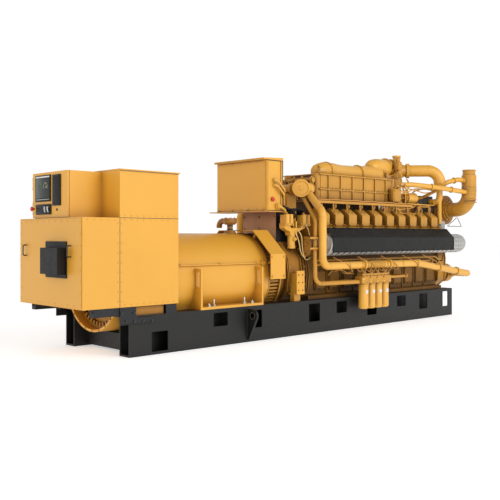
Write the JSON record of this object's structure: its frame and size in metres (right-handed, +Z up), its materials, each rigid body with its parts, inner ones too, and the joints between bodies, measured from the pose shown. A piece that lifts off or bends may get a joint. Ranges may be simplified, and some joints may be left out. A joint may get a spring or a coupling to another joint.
{
  "type": "natural gas generator set",
  "caption": "Long V gas engine coupled to an alternator on a box-section skid, with terminal boxes, a hinged control panel, lagged exhaust manifolds and twin air inlet elbows.",
  "frame": {"origin": "middle of the skid at floor level, between the four anchor holes", "axes": "+X along the shaft line from the alternator's end to the engine's free end, +Z up, and the side with the oil filters towards -Y"},
  "size_m": [7.434, 1.7088, 2.544],
  "materials": {
    "paint_yellow": "semi-gloss machine enamel",
    "paint_cast": "machine enamel over rough castings",
    "paint_black": "satin black",
    "lagging": "foil-faced heat lagging",
    "bare_cast": "bare and heat-tinted",
    "hinge_steel": "dark plated steel"
  },
  "bodies": {
    "genset": {"rail_near": "paint_black", "rail_far": "paint_black", "cross_members": "paint_black", "lifting_lugs": "paint_black", "box_brackets": "paint_black", "generator_frame": "paint_yellow", "generator_end_ring": "paint_cast", "generator_pads": "paint_cast", "generator_feet": "paint_yellow", "drive_end_screen": "paint_cast", "drive_end_cover": "paint_yellow", "cable_box": "paint_yellow", "cable_vent_hood": "paint_black", "cable_box_handles": "paint_black", "terminal_box_lower": "paint_yellow", "terminal_box_upper": "paint_yellow", "control_panel_housing": "paint_yellow", "control_panel_hinges": "hinge_steel", "junction_stand": "paint_cast", "junction_box": "paint_yellow", "flywheel_housing": "paint_cast", "engine_mounts": "paint_yellow", "crankcase": "paint_cast", "crankcase_covers": "paint_cast", "cylinder_heads": "paint_cast", "rocker_covers": "paint_yellow", "exhaust_manifolds": "lagging", "manifold_shields": "paint_black", "aftercooler": "paint_yellow", "intake_duct": "paint_yellow", "charge_air_pipe": "paint_yellow", "turbochargers": "bare_cast", "exhaust_collector": "bare_cast", "air_inlet_elbows": "paint_yellow", "gear_case": "paint_cast", "water_pumps": "paint_cast", "water_outlet": "paint_yellow", "coolant_pipes": "paint_yellow", "thermostat_housing": "paint_yellow", "filter_head": "paint_yellow", "oil_filters": "paint_yellow", "gas_valve": "paint_yellow", "harness_ducts": "paint_yellow", "breather": "paint_cast"},
    "panel_door": {"control_panel_door": "paint_yellow"}
  },
  "joints": [
    {"name": "panel_door_hinge", "type": "hinge", "parent": "genset", "child": "panel_door", "pos_m": [-3.598, 0.425, 1.682], "axis": [0, 0, -1], "range_deg": [0, 110]}
  ]
}
